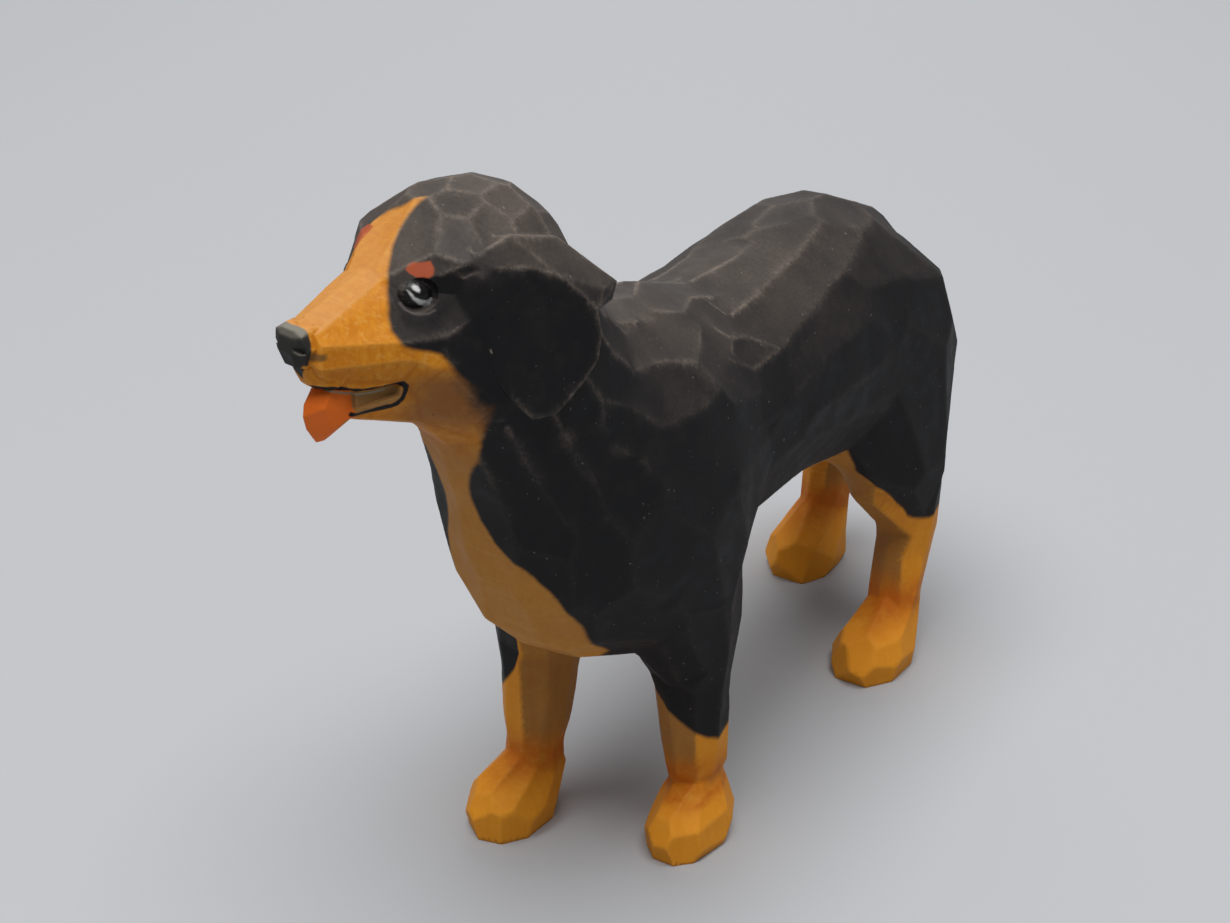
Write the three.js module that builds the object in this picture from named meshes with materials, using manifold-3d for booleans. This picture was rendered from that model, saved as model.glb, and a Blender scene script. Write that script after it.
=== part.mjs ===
// A small standing dog, whittled from one block of wood and painted afterwards.
// Millimetres, +Z up. The dog looks along -Y and its left side is +X. The origin is on the ground,
// under the middle of the figure. The right fore paw and the left hind paw are set forward, as in a
// slow walk, and the head is turned a little to the dog's right.
//
// The form is built the way a carver works. Masses such as the chest, croup, skull and paws are
// blended into one rounded body, the body is wrapped in a fine skin of triangles, and the skin is
// then cut into flat facets, each the mark of one stroke of the knife. The mouth and the nostrils
// are cut last, and the tongue is joined on.
import * as THREE from 'three';
import { mergeVertices } from 'three/addons/utils/BufferGeometryUtils.js';
import { ConvexGeometry } from 'three/addons/geometries/ConvexGeometry.js';
import Module from 'manifold-3d';

const wasm = await Module();
wasm.setup();

// Driving sizes.
const pawSide = 9.7; // from the middle of the figure to the middle of a paw
const strideFront = 7; // how far the right fore paw is ahead of the left one
const elbowBulge = 1.7; // how much farther out the right elbow stands than the left one
const strideHind = 17.6; // how far the left hind paw is ahead of the right one
const headTurn = 15; // degrees, to the dog's right
const headTilt = 4; // degrees, its right ear lower than its left one
const headTiltZ = 75; // the tilt is about a level line at this height
const headPivotY = -12; // the turn is about an upright axis here, ahead of the fore paws
const originY = 17; // the middle of the figure, behind the middle of the fore paws

const degrees = Math.PI / 180;
const mix = (a, b, t) => a + (b - a) * t;
const clamp = (v, low, high) => Math.min(Math.max(v, low), high);
const lengthOf = (x, y, z) => Math.sqrt(x * x + y * y + z * z);

// MASSES. Each gives the distance from a point [x, y, z] to its surface, negative inside.

// An egg shape with three half-axes, its front end tipped down by a slope in degrees.
function egg(p, centre, half, slope = 0) {
  const c = Math.cos(slope * degrees);
  const s = Math.sin(slope * degrees);
  const dy = p[1] - centre[1];
  const dz = p[2] - centre[2];
  const x = (p[0] - centre[0]) / half[0];
  const y = (dy * c + dz * s) / half[1];
  const z = (dz * c - dy * s) / half[2];
  const k0 = lengthOf(x, y, z);
  const k1 = lengthOf(x / half[0], y / half[1], z / half[2]);
  return k1 < 1e-9 ? -Math.min(...half) : (k0 * (k0 - 1)) / k1;
}

// A rod between two points whose radius changes evenly; flat below 1 makes it narrower across X.
function rod(p, a, b, radiusA, radiusB, flat = 1) {
  const ax = (p[0] - a[0]) / flat;
  const bx = (b[0] - a[0]) / flat;
  const by = b[1] - a[1];
  const bz = b[2] - a[2];
  const along = (ax * bx + (p[1] - a[1]) * by + (p[2] - a[2]) * bz) / (bx * bx + by * by + bz * bz);
  const t = clamp(along, 0, 1);
  const away = lengthOf(ax - bx * t, p[1] - a[1] - by * t, p[2] - a[2] - bz * t);
  return (away - mix(radiusA, radiusB, t)) * Math.min(flat, 1);
}

// Two masses melted together over a width of k, and the second taken out of the first.
function meld(a, b, k) {
  const h = Math.max(k - Math.abs(a - b), 0) / k;
  return Math.min(a, b) - (h * h * k) / 4;
}
const hollowed = (a, b, k) => -meld(-a, b, k);

function trunk(p) {
  const chest = egg(p, [0, -2, 46.2], [14.2, 18, 20.1], 9);
  const withers = egg(p, [0, 5, 51], [10.5, 12.5, 12.4]);
  const barrel = egg(p, [0, 23, 46.2], [13.4, 27, 14.6], -1);
  const croup = egg(p, [0, 42.6, 45.2], [12.8, 18.8, 16], -10);
  const neck = rod(p, [0, -8.5, 52.6], [0, -18.6, 69.5], 12.6, 9.7, 0.96);
  const throat = rod(p, [0, -15.6, 58], [0, -21.2, 66], 9, 7);
  const body = meld(meld(chest, barrel, 8), croup, 6);
  return meld(meld(body, withers, 4), meld(neck, throat, 2), 4);
}

function foreleg(p, sideSign, ahead, bulge) {
  const x = sideSign * pawSide;
  const knee = sideSign * (pawSide - 1);
  const shoulder = egg(p, [sideSign * 8.4, 1.5 - ahead * 0.3, 41], [6.2, 9, 19], 6);
  const elbow = knee + (sideSign * bulge) / 2;
  const top = [elbow, 3.5 - ahead * 0.2, 28];
  const wrist = [knee, 3 - ahead * 0.75, 12.5];
  const upper = rod(p, top, wrist, 4.6 + bulge / 2, 3.7);
  const lower = rod(p, wrist, [knee, 3 - ahead, 5], 3.3, 3.2);
  return meld(meld(shoulder, upper, 4), meld(lower, paw(p, x, 0 - ahead), 1.6), 2);
}

function hindLeg(p, sideSign, back) {
  const x = sideSign * pawSide;
  const thigh = egg(p, [sideSign * 8.6, 52 + back * 0.15, 36], [5.6, 10.5, 16.5], -8);
  const shin = rod(p, [x, 52.5 + back * 0.6, 27], [x, 54.9 + back * 0.95, 17], 4.7, 3.4);
  const hock = rod(p, [x, 54.9 + back * 0.95, 17], [x, 51.5 + back, 5.5], 3.3, 3.2);
  return meld(meld(thigh, shin, 4), meld(hock, paw(p, x, 47.2 + back), 1.6), 2);
}

// A paw: a low egg that is blunter behind; the soles are sawn flat later.
function paw(p, x, y) {
  const pad = egg(p, [x, y, 2], [4.6, 6.2, 5.3], 8);
  const heel = egg(p, [x, y + 3, 3], [3.4, 3.8, 3.8]);
  return meld(pad, heel, 2);
}

function tail(p) {
  const root = rod(p, [0, 57, 52], [0, 63, 42], 3.6, 3.8);
  const brush = rod(p, [0, 63, 42], [0, 64, 29], 3.8, 2.2);
  return meld(root, brush, 2);
}

// The head, in its own frame before the turn: x is mirrored, so that each mass serves both sides.
function head(p) {
  const q = [Math.abs(p[0]), p[1], p[2]];
  const skull = egg(q, [0, -20.7, 74.8], [9, 10.4, 10.3], -12);
  const temple = egg(q, [4.3, -22, 76.8], [4.3, 7.5, 5.6]);
  const forehead = rod(q, [0, -24, 78.2], [0, -28.2, 77], 6.4, 4.2);
  const cheek = egg(q, [4, -24, 71.5], [4.6, 7.5, 6.5]);
  const bridge = rod(q, [0, -31, 75.6], [0, -38, 74.6], 4.1, 2.8, 1.05);
  const lips = rod(q, [2.3, -31.5, 73], [1.5, -37.8, 73], 3.6, 2.5);
  const jaw = rod(q, [0, -26, 67.6], [0, -35, 68.4], 4.8, 3.3, 1.1);
  const brow = rod(q, [3, -29, 79.4], [7, -25.4, 79.5], 1.7, 1.7);
  const templeRidge = rod(q, [7, -25.4, 79.5], [8, -21, 79.4], 1.7, 1.7);
  const eyeHollow = egg(q, [10.2, -30.5, 77.2], [4.2, 5.6, 3]);
  const crown = meld(meld(skull, cheek, 3), meld(forehead, temple, 2), 2);
  const face = meld(crown, meld(bridge, lips, 1.5), 2);
  const ridge = Math.min(brow, templeRidge);
  return hollowed(meld(meld(face, jaw, 1.5), ridge, 1.5), eyeHollow, 1);
}

const turn = headTurn * degrees;
const tilt = headTilt * degrees;
function figure(p) {
  const dx = p[0];
  const dy = p[1] - headPivotY;
  const left = dx * Math.cos(turn) - dy * Math.sin(turn);
  const up = p[2] - headTiltZ;
  const inHead = [
    left * Math.cos(tilt) + up * Math.sin(tilt),
    dx * Math.sin(turn) + dy * Math.cos(turn) + headPivotY,
    up * Math.cos(tilt) - left * Math.sin(tilt) + headTiltZ,
  ];
  const legs = Math.min(
    foreleg(p, 1, -strideFront / 2, 0),
    foreleg(p, -1, strideFront / 2, elbowBulge),
    hindLeg(p, 1, 0),
    hindLeg(p, -1, strideHind),
  );
  return meld(meld(meld(trunk(p), legs, 4), tail(p), 3), head(inHead), 4);
}

// THE SKIN. One point for each small cell that the surface passes through, moved onto the surface,
// and two triangles for each edge of the lattice that it crosses.
const lattice = {
  x: steps([-21, 21, 1.1]),
  y: steps([-47, -12, 0.85], [80, 1.5]),
  z: steps([-5, 58, 1.4], [90, 0.85]),
};

// Evenly stepped values from a first to a last, and on from there to a further one in other steps.
function steps(first, ...further) {
  const values = [first[0]];
  for (const [last, gap] of [first.slice(1), ...further]) {
    while (values.at(-1) < last) values.push(values.at(-1) + gap);
  }
  return values;
}

// Every lattice cell [i, j, k] from a first number up to, and not including, the last of each row.
function* cells(first, [nx, ny, nz]) {
  for (let k = first; k < nz; k++) {
    for (let j = first; j < ny; j++) {
      for (let i = first; i < nx; i++) yield [i, j, k];
    }
  }
}

function wrap(distance, { x, y, z }) {
  const size = [x.length, y.length, z.length];
  const last = size.map((n) => n - 1);
  const at = (i, j, k) => (k * size[1] + j) * size[0] + i;
  const value = new Float64Array(size[0] * size[1] * size[2]);
  for (const [i, j, k] of cells(0, size)) value[at(i, j, k)] = distance([x[i], y[j], z[k]]);

  const points = [];
  const pointOf = new Map();
  const corners = [0, 1, 2, 3, 4, 5, 6, 7].map((c) => [c & 1, (c >> 1) & 1, c >> 2]);
  for (const [i, j, k] of cells(0, last)) {
    const inside = corners.filter(([a, b, c]) => value[at(i + a, j + b, k + c)] < 0).length;
    if (inside === 0 || inside === 8) continue;
    pointOf.set(at(i, j, k), points.length);
    const middle = [(x[i] + x[i + 1]) / 2, (y[j] + y[j + 1]) / 2, (z[k] + z[k + 1]) / 2];
    points.push(new THREE.Vector3(...onSurface(distance, middle, 6)));
  }

  // The four cells about a lattice edge along X, Y or Z, in turn around it.
  const [dx, dy, dz] = [1, size[0], size[0] * size[1]];
  const about = [[dx, dy, dz], [dy, dz, dx], [dz, dx, dy]];
  const triangles = [];
  for (const [i, j, k] of cells(1, last)) {
    const here = at(i, j, k);
    for (const [along, one, two] of about) {
      const inside = value[here] < 0;
      if (inside === value[here + along] < 0) continue;
      const [p, q, r, s] = [here, here - one, here - one - two, here - two].map((c) => pointOf.get(c));
      const short = points[p].distanceTo(points[r]) < points[q].distanceTo(points[s]);
      const split = short ? [[p, q, r], [p, r, s]] : [[q, r, s], [q, s, p]];
      triangles.push(...split.map((t) => (inside ? t : t.reverse())));
    }
  }
  return { points, triangles };
}

// A point moved along the distance field until it lies on the surface.
function onSurface(distance, from, times) {
  const p = [...from];
  const e = 0.05;
  for (let n = 0; n < times; n++) {
    const d = distance(p);
    const slope = [0, 1, 2].map((axis) => {
      const q = [...p];
      q[axis] += e;
      return (distance(q) - d) / e;
    });
    const square = slope[0] ** 2 + slope[1] ** 2 + slope[2] ** 2;
    const step = clamp(d / Math.max(square, 0.05), -0.6, 0.6);
    for (const axis of [0, 1, 2]) p[axis] -= slope[axis] * step;
  }
  return p;
}

// THE KNIFE. The skin is divided into facets whose breadth follows the stroke length at each place.
function strokeAt({ x, y, z }) {
  const onWithers = clamp((20 - lengthOf(x * 0.8, y - 14, z - 58)) / 7, 0, 1);
  const onHead = clamp((z - 60) / 7, 0, 1) * clamp((8 - y) / 16, 0, 1);
  const onLegs = clamp((30 - z) / 12, 0, 1);
  const onPaws = clamp((9 - z) / 3, 0, 1);
  return mix(mix(mix(mix(6.6, 4.8, onWithers), 4, onLegs), 3.2, onPaws), 3.3, onHead);
}

// The square of the distance between two places in strokes. Along the muzzle the strokes are long.
const towardsNose = new THREE.Vector3(-Math.sin(headTurn * degrees), -Math.cos(headTurn * degrees), 0);
function strokesBetween(a, b) {
  const onMuzzle = clamp((a.z - 67) / 2, 0, 1) * clamp((-27 - a.y) / 3, 0, 1);
  const d = a.clone().sub(b);
  return (d.lengthSq() - 0.9 * onMuzzle * d.dot(towardsNose) ** 2) / strokeAt(a) ** 2;
}

// A queue that always gives back the entry of least cost.
class Queue {
  items = [];
  push(cost, value) {
    const items = this.items;
    let n = items.push([cost, value]) - 1;
    while (n > 0 && items[(n - 1) >> 1][0] > items[n][0]) {
      [items[n], items[(n - 1) >> 1]] = [items[(n - 1) >> 1], items[n]];
      n = (n - 1) >> 1;
    }
  }
  pop() {
    const items = this.items;
    const least = items[0];
    const last = items.pop();
    if (items.length === 0) return least[1];
    items[0] = last;
    for (let n = 0, m = 0; ; n = m) {
      for (const c of [2 * n + 1, 2 * n + 2]) {
        if (c < items.length && items[c][0] < items[m][0]) m = c;
      }
      if (m === n) return least[1];
      [items[n], items[m]] = [items[m], items[n]];
    }
  }
}

// Repeatable random numbers between 0 and 1.
function dice(seed) {
  let a = seed;
  return () => {
    a = (a + 0x6d2b79f5) | 0;
    let t = Math.imul(a ^ (a >>> 15), 1 | a);
    t = (t + Math.imul(t ^ (t >>> 7), 61 | t)) ^ t;
    return ((t ^ (t >>> 14)) >>> 0) / 4294967296;
  };
}

function facets({ points, triangles }) {
  const count = triangles.length;
  const centre = [];
  const normal = [];
  const area = [];
  for (const [a, b, c] of triangles) {
    const n = new THREE.Vector3().subVectors(points[b], points[a]);
    n.cross(new THREE.Vector3().subVectors(points[c], points[a]));
    area.push(n.length() / 2);
    normal.push(n.normalize());
    centre.push(new THREE.Vector3().add(points[a]).add(points[b]).add(points[c]).divideScalar(3));
  }
  const edge = (v, w) => v * points.length + w;
  const owner = new Map();
  triangles.forEach((t, n) => t.forEach((v, i) => owner.set(edge(v, t[(i + 1) % 3]), n)));
  const beside = triangles.map((t) => t.map((v, i) => owner.get(edge(t[(i + 1) % 3], v))));

  // The first seeds are spread about one stroke apart, closer where the surface bends.
  const random = dice(7);
  const order = triangles.map((_, n) => [random(), n]).sort((a, b) => a[0] - b[0]).map((e) => e[1]);
  let seeds = [];
  for (const n of order) {
    const near = seeds.some((m) => strokesBetween(centre[n], centre[m])
      + 0.5 * normal[n].distanceToSquared(normal[m]) < 1);
    if (!near) seeds.push(n);
  }

  const facetOf = new Int32Array(count);
  let planes = seeds.map((n) => ({ normal: normal[n].clone(), centre: centre[n].clone() }));
  const cost = (n, f) => area[n] * (normal[n].distanceToSquared(planes[f].normal)
    + 0.07 * strokesBetween(centre[n], planes[f].centre));
  for (let round = 0; round < 12; round++) {
    facetOf.fill(-1);
    const queue = new Queue();
    const take = (n, f) => {
      facetOf[n] = f;
      for (const m of beside[n]) {
        if (facetOf[m] < 0) queue.push(cost(m, f), [m, f]);
      }
    };
    seeds.forEach((n, f) => take(n, f));
    while (queue.items.length > 0) {
      const [n, f] = queue.pop();
      if (facetOf[n] < 0) take(n, f);
    }
    planes = planes.map(() => ({ normal: new THREE.Vector3(), centre: new THREE.Vector3(), area: 0 }));
    for (let n = 0; n < count; n++) {
      const plane = planes[facetOf[n]];
      plane.normal.addScaledVector(normal[n], area[n]);
      plane.centre.addScaledVector(centre[n], area[n]);
      plane.area += area[n];
    }
    for (const plane of planes) {
      plane.normal.normalize();
      plane.centre.divideScalar(plane.area);
    }
    const best = planes.map(() => [Infinity, 0]);
    for (let n = 0; n < count; n++) {
      const c = cost(n, facetOf[n]) / area[n];
      if (c < best[facetOf[n]][0]) best[facetOf[n]] = [c, n];
    }
    seeds = best.map((b) => b[1]);
  }
  return { points, triangles, facetOf, planes };
}

// Each point slides to where the planes of its facets meet: onto the plane, the ridge or the corner.
function planeOff({ points, triangles, facetOf, planes }, reach, hold) {
  const at = points.map(() => new Set());
  triangles.forEach((t, n) => t.forEach((v) => at[v].add(facetOf[n])));
  const moved = points.map((v, i) => {
    const m = [hold, 0, 0, hold, 0, hold];
    const r = v.clone().multiplyScalar(hold);
    for (const f of at[i]) {
      const { x, y, z } = planes[f].normal;
      m[0] += x * x;
      m[1] += x * y;
      m[2] += x * z;
      m[3] += y * y;
      m[4] += y * z;
      m[5] += z * z;
      r.addScaledVector(planes[f].normal, planes[f].normal.dot(planes[f].centre));
    }
    const [xx, xy, xz, yy, yz, zz] = m;
    const inverse = new THREE.Matrix3().set(xx, xy, xz, xy, yy, yz, xz, yz, zz).invert();
    const step = r.applyMatrix3(inverse).sub(v);
    return v.clone().add(step.clampLength(0, reach));
  });
  return { points: moved, triangles, facetOf, planes };
}

// Points inside a facet or along a straight ridge are taken away, each handing its triangles to a
// neighbour. Short ridges close up too, and a triangle that is turned over is worked out.
function thin({ points, triangles, facetOf, planes }, slack, short) {
  const ring = points.map(() => new Set());
  triangles.forEach((t, n) => t.forEach((v) => ring[v].add(n)));
  const strain = new Float64Array(points.length);
  const facetsAt = (v) => new Set([...ring[v]].map((n) => facetOf[n]));
  const around = (v) => new Set([...ring[v]].flatMap((n) => triangles[n]).filter((w) => w !== v));
  const sharing = (v, w) => [...ring[v]].filter((n) => ring[w].has(n));
  const e1 = new THREE.Vector3();
  const e2 = new THREE.Vector3();
  const shapeOf = (n, v, w) => {
    const [a, b, c] = triangles[n].map((u) => points[u === v ? w : u]);
    e1.subVectors(b, a);
    e2.subVectors(c, a);
    const size = e1.lengthSq() + e2.lengthSq() + b.distanceToSquared(c);
    return e1.cross(e2).dot(planes[facetOf[n]].normal) / size;
  };
  const reduce = (v) => {
    const facetCount = facetsAt(v).size;
    const neighbours = [...around(v)];
    let poorest = 0.02;
    for (const n of ring[v]) poorest = Math.min(poorest, shapeOf(n, v, v));
    const folded = poorest < 0;
    const divides = (w) => new Set(sharing(v, w).map((n) => facetOf[n])).size === 2;
    const onRidge = neighbours.filter(divides);
    const limit = (folded ? 4 : 1) * short * strokeAt(points[v]);
    const close = (w) => points[v].distanceTo(points[w]) < limit;
    const goals = facetCount === 1 ? neighbours : facetCount === 2 ? onRidge : onRidge.filter(close);
    if (facetCount === 2 && onRidge.length !== 2) return false;
    let best = [poorest, -1];
    for (const w of goals) {
      const common = neighbours.filter((u) => ring[u].size && sharing(u, w).length > 0 && u !== w);
      if (sharing(v, w).length !== 2 || common.length !== 2) continue;
      let worst = Infinity;
      for (const n of ring[v]) {
        if (!ring[w].has(n)) worst = Math.min(worst, shapeOf(n, v, w));
      }
      if (worst > best[0]) best = [worst, w];
    }
    const into = best[1];
    if (into < 0) return false;
    if (facetCount === 2) {
      const other = onRidge.find((w) => w !== into);
      const chord = new THREE.Line3(points[into], points[other]);
      const gap = chord.closestPointToPoint(points[v], true, e1).distanceTo(points[v]) + strain[v];
      if (gap > (folded ? 3 : 1) * slack * strokeAt(points[v])) return false;
      strain[other] = Math.max(strain[other], gap);
      strain[into] = Math.max(strain[into], gap);
    }
    for (const n of [...ring[v]]) {
      if (ring[into].has(n)) {
        for (const u of triangles[n]) ring[u].delete(n);
        triangles[n] = null;
      } else {
        triangles[n] = triangles[n].map((u) => (u === v ? into : u));
        ring[into].add(n);
      }
    }
    ring[v].clear();
    return true;
  };
  for (let changed = true; changed;) {
    changed = false;
    for (let v = 0; v < points.length; v++) {
      if (ring[v].size && reduce(v)) changed = true;
    }
  }
  const kept = triangles.map((t, n) => n).filter((n) => triangles[n]);
  const pick = (list) => kept.map((n) => list[n]);
  return { points, triangles: pick(triangles), facetOf: pick(facetOf), planes };
}

// Inside each facet the diagonals are turned wherever that gives better shaped triangles.
function turnDiagonals({ points, triangles, facetOf, planes }) {
  const key = (a, b) => a * points.length + b;
  const owner = new Map();
  triangles.forEach((t, n) => t.forEach((v, i) => owner.set(key(v, t[(i + 1) % 3]), n)));
  const e1 = new THREE.Vector3();
  const e2 = new THREE.Vector3();
  const shape = (f, a, b, c) => {
    e1.subVectors(points[b], points[a]);
    e2.subVectors(points[c], points[a]);
    const size = e1.lengthSq() + e2.lengthSq() + points[b].distanceToSquared(points[c]);
    return e1.cross(e2).dot(planes[f].normal) / size;
  };
  for (let changed = true, pass = 0; changed && pass < 12; pass++) {
    changed = false;
    for (const [edge, n] of [...owner]) {
      if (owner.get(edge) !== n) continue;
      const [v, w] = [Math.floor(edge / points.length), edge % points.length];
      const m = owner.get(key(w, v));
      if (m === undefined || facetOf[m] !== facetOf[n]) continue;
      const a = triangles[n].find((u) => u !== v && u !== w);
      const b = triangles[m].find((u) => u !== v && u !== w);
      if (a === b || owner.has(key(a, b)) || owner.has(key(b, a))) continue;
      const f = facetOf[n];
      const before = Math.min(shape(f, v, w, a), shape(f, w, v, b));
      const after = Math.min(shape(f, a, b, w), shape(f, b, a, v));
      if (after < before + 1e-4) continue;
      owner.delete(edge);
      owner.delete(key(w, v));
      triangles[n] = [a, b, w];
      triangles[m] = [b, a, v];
      for (const t of [n, m]) {
        triangles[t].forEach((u, i) => owner.set(key(u, triangles[t][(i + 1) % 3]), t));
      }
      changed = true;
    }
  }
  return { points, triangles, facetOf, planes };
}

let whittled = turnDiagonals(planeOff(facets(wrap(figure, lattice)), 2.5, 0.03));
for (const short of [0, 0, 0.2, 0.2]) {
  whittled = turnDiagonals(thin(whittled, 0.1, short));
}

// SOLIDS. Closed geometry becomes a solid that can be cut and joined.
function solidOf(geometry) {
  geometry.deleteAttribute('normal');
  geometry.deleteAttribute('uv');
  const merged = mergeVertices(geometry, 1e-5);
  return new wasm.Manifold(new wasm.Mesh({
    numProp: 3,
    vertProperties: merged.attributes.position.array,
    triVerts: new Uint32Array(merged.index.array),
  }));
}

function geometryOf({ points, triangles }) {
  const geometry = new THREE.BufferGeometry().setFromPoints(points);
  geometry.setIndex(triangles.flat());
  return geometry;
}

// A point of the head, given forward, to the left and up, set in the turned head.
function onHead([forward, left, up]) {
  return new THREE.Vector3(left, headPivotY - forward, up - headTiltZ)
    .applyMatrix4(new THREE.Matrix4().makeRotationY(-tilt))
    .add(new THREE.Vector3(0, -headPivotY, 0))
    .applyMatrix4(new THREE.Matrix4().makeRotationZ(-turn))
    .add(new THREE.Vector3(0, headPivotY, headTiltZ));
}
const mirrored = (points) => points.map(([forward, left, up]) => [forward, -left, up]);
const paired = (points) => [...points, ...mirrored(points)];
const block = (points) => solidOf(new ConvexGeometry(points.map(onHead)));

// The ear hangs from a fold that rises in a flat arch. The flap below the fold lies in one upright
// plane, which leans out towards the back, and the roof above it slopes up to the skull in bands.
const earLeft = (forward, up) => (18.3 - 0.227 * forward - 0.0775 * up) / 0.971;
const onEar = ([forward, up]) => [forward, earLeft(forward, up), up];
const fold = [[13.7, 79.9], [8.9, 78.9], [6.2, 77.5], [4.1, 75.3], [2.6, 73.2]].map(onEar);
const flapEdge = [
  [2.4, 70.8], [3.2, 68.3], [4.8, 66.6], [8, 64.1], [10.5, 64.2], [12.3, 66.7], [13.4, 70], [14, 75.4],
].map(onEar);
const roof = [
  ...fold, [13.9, 8.6, 80.9], [9.7, 8.6, 81.9], [6.2, 8.6, 80.8], [3.2, 7.6, 79.7],
  [0.9, 11.4, 74.7], [0.4, 9.4, 76.3], [-1.8, 10.3, 74.3], [-0.8, 10.6, 72.8],
  [12.5, 5, 81.5], [6, 5, 80.5], [12, 6, 76], [5, 6, 72], [0, 6, 71],
];
const flap = [
  ...fold, ...flapEdge, [15.2, 7, 78.5], [15.6, 7.2, 74.5], [14.2, 7.5, 70.5], [12.7, 6.5, 68],
  [10, 7, 66], [6.5, 7, 66], [2.2, 7, 69], [2.4, 7, 72], [4, 6, 75], [8, 6, 78],
];

const nose = paired([
  [29.7, 1, 75.7], [30, 1, 74.3], [29.5, 0.8, 72.7], [29.3, 2, 75.9], [29.3, 2.3, 74.4],
  [28.8, 1.5, 72.5], [29.3, 1, 76.3], [28.1, 1.6, 76.4], [26.5, 1.7, 76.3],
  [26.5, 2.3, 74.5], [26.5, 0.5, 72],
]);
const nostril = [
  [30.2, 1.2, 74.9], [30.2, 1.5, 74.3], [29.2, 3, 74.9],
  [29, 3, 74.4], [29.3, 1.1, 74.7], [29.2, 1.6, 74.2],
];

// The mouth: a slot along each side, and a through cut ahead of the short lower jaw.
const mouthSide = [
  [20, 6, 69.3], [24.5, 6, 69.4], [24.5, 6, 67.4], [20.3, 6, 68],
  [20.3, 3.4, 69.2], [24.5, 2.4, 69.3], [24.5, 2.4, 67.4], [20.6, 3.4, 68],
];
const mouthFront = paired([
  [24.3, 5, 69.4], [30, 5, 71], [30, 5, 64], [26.6, 5, 64.2], [25.6, 5, 67.3], [24.3, 5, 67.4],
]);
const upperLip = paired([
  [28.9, 0.8, 72.6], [28.5, 0.7, 71.4], [28, 0.8, 70.4], [27.5, 0.7, 69.9], [27.9, 1.9, 72.2],
  [27.2, 2.2, 70.4], [26, 2.9, 70], [25.5, 3.3, 71.5], [25.5, 2.8, 74],
]);
const tongue = [
  [23, 2, 69.8], [23, 2, 67], [23, -2, 69.8], [23, -2, 67],
  [27, -0.4, 69.5], [26.4, 1.7, 69.8], [26.2, -1.8, 68.9], [28.3, -0.3, 68.3], [28.6, -0.2, 67.2],
  [28.2, -0.4, 65.7], [27.4, 1.8, 68.2], [27.3, -1.6, 67.7], [27.4, -1.5, 66.4], [26.9, -1.5, 65.1],
  [27.1, -0.6, 63.9], [27, 0.8, 64.9], [26.5, 1.6, 65.8], [25.5, 1.7, 66.2], [24.3, 2, 66.6],
  [26.3, -0.4, 63.9], [25.2, -1.6, 65.6],
];

// An egg lying against the side of the face, for an eye and, wider and flatter, for its socket.
function eyeEgg(side, along, high, deep, sunk) {
  const ball = new THREE.SphereGeometry(1, 14, 10);
  const outward = new THREE.Vector3(side * 0.92, -0.36, 0.12).normalize();
  const forward = new THREE.Vector3(-side * 0.36, -0.92, 0.1);
  const up = new THREE.Vector3().crossVectors(outward, forward).multiplyScalar(side).normalize();
  forward.crossVectors(up, outward).normalize();
  ball.scale(along, high, deep).applyMatrix4(new THREE.Matrix4().makeBasis(forward, up, outward));
  const middle = new THREE.Vector3(side * 5.3, headPivotY - 18.4, 77.7).addScaledVector(outward, -sunk);
  const turned = ball.attributes.position;
  for (let n = 0; n < turned.count; n++) {
    const v = new THREE.Vector3().fromBufferAttribute(turned, n).add(middle);
    turned.setXYZ(n, ...onHead([headPivotY - v.y, v.x, v.z]));
  }
  return solidOf(ball);
}

const both = (points) => block(points).add(block(mirrored(points)));
const setBack = (points, back) => points.map(([forward, left, up]) => [forward - back, left, up]);
const socket = eyeEgg(1, 2.1, 1.7, 1, -0.2).add(eyeEgg(-1, 2.1, 1.7, 1, -0.2));
const eyes = eyeEgg(1, 1.7, 1.35, 1.3, 0.9).add(eyeEgg(-1, 1.7, 1.35, 1.3, 1.3));
const soles = solidOf(new THREE.BoxGeometry(60, 160, 20).translate(0, 10, -10));
const whole = solidOf(geometryOf(whittled))
  .add(block(roof))
  .add(block(flap))
  .add(block(setBack(mirrored(roof), 2)))
  .add(block(setBack(mirrored(flap), 2)))
  .add(block(nose))
  .subtract(both(nostril))
  .subtract(both(mouthSide))
  .subtract(block(mouthFront))
  .add(block(upperLip))
  .add(block(tongue))
  .subtract(soles)
  .subtract(socket)
  .add(eyes);

function meshOf(solid) {
  const { vertProperties, triVerts } = solid.getMesh();
  const geometry = new THREE.BufferGeometry();
  geometry.setAttribute('position', new THREE.BufferAttribute(new Float32Array(vertProperties), 3));
  geometry.setIndex([...triVerts]);
  return geometry;
}

const wood = new THREE.MeshStandardMaterial({ color: 0x3a302a, roughness: 0.75, metalness: 0 });
const dog = new THREE.Mesh(meshOf(whole).translate(0, -originY, 0), wood);
dog.name = 'carved_dog';

const group = new THREE.Group();
group.add(dog);

export default group;
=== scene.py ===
import math

import bmesh
import bpy
import numpy as np
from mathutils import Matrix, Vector, kdtree, noise


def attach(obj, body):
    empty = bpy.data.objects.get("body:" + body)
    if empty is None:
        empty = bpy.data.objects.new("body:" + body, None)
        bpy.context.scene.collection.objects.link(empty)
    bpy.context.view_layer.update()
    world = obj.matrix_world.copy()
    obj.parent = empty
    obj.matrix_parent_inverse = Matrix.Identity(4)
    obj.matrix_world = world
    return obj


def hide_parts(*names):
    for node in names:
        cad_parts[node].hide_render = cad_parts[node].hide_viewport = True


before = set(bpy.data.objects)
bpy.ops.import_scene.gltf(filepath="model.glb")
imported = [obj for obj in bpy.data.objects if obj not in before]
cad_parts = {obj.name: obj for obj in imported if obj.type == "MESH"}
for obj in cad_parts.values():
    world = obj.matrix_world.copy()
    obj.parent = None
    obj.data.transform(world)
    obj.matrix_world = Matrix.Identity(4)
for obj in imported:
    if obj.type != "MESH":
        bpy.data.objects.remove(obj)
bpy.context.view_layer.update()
print("frame loaded")

mm = 0.001  # every size below is in millimetres, and mm turns it into metres

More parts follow.
